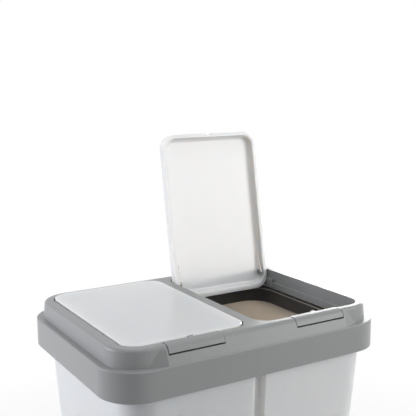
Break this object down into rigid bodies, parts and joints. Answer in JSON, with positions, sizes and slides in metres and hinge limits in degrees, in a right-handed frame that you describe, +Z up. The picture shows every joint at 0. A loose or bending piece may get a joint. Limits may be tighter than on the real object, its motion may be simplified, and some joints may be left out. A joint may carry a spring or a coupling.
{
  "type": "double recycling bin",
  "caption": "Free-standing plastic bin with two side-by-side compartments, a lift-off lid frame, push-latch lids and rings that hold the bags",
  "frame": {"origin": "on the floor, under the middle of the bin", "axes": "+X to the right seen from the front, -Y to the front, +Z up"},
  "size_m": [0.48, 0.3556, 0.7801],
  "materials": {
    "white_plastic": "satin",
    "grey_plastic": "fine satin",
    "lid_plastic": "gloss",
    "black_plastic": "satin",
    "pin_plastic": "satin",
    "steel": "bright drawn"
  },
  "bodies": {
    "tub": {"tub": "white_plastic", "left_bag_ring": "black_plastic", "right_bag_ring": "black_plastic"},
    "lid_frame": {"lid_frame": "grey_plastic", "left_latch_pin": "steel", "right_latch_pin": "steel", "left_latch_spring": "steel", "right_latch_spring": "steel", "left_lid_pin_inner": "pin_plastic", "left_lid_pin_outer": "pin_plastic", "right_lid_pin_inner": "pin_plastic", "right_lid_pin_outer": "pin_plastic"},
    "left_lid": {"left_lid": "lid_plastic", "left_lid_spring_inner": "steel", "left_lid_spring_outer": "steel"},
    "left_latch": {"left_latch": "grey_plastic"},
    "right_lid": {"right_lid": "lid_plastic", "right_lid_spring_inner": "steel", "right_lid_spring_outer": "steel"},
    "right_latch": {"right_latch": "grey_plastic"}
  },
  "joints": [
    {"name": "frame_lift", "type": "slide", "parent": "tub", "child": "lid_frame", "axis": [0, 0, 1], "range_m": [0, 0.08]},
    {"name": "left_lid_hinge", "type": "hinge", "parent": "lid_frame", "child": "left_lid", "pos_m": [-0.11, 0.1185, 0.5135], "axis": [-1, 0, 0], "range_deg": [0, 100]},
    {"name": "left_latch_rock", "type": "hinge", "parent": "lid_frame", "child": "left_latch", "pos_m": [-0.11, -0.1605, 0.5105], "axis": [1, 0, 0], "range_deg": [0, 8], "stiffness_Nm_per_rad": 0.2, "springref_deg": -8.59, "deforming": ["left_latch_spring"]},
    {"name": "right_lid_hinge", "type": "hinge", "parent": "lid_frame", "child": "right_lid", "pos_m": [0.11, 0.1185, 0.5135], "axis": [-1, 0, 0], "range_deg": [-100, 0]},
    {"name": "right_latch_rock", "type": "hinge", "parent": "lid_frame", "child": "right_latch", "pos_m": [0.11, -0.1605, 0.5105], "axis": [1, 0, 0], "range_deg": [0, 8], "stiffness_Nm_per_rad": 0.2, "springref_deg": -8.59, "deforming": ["right_latch_spring"]}
  ]
}
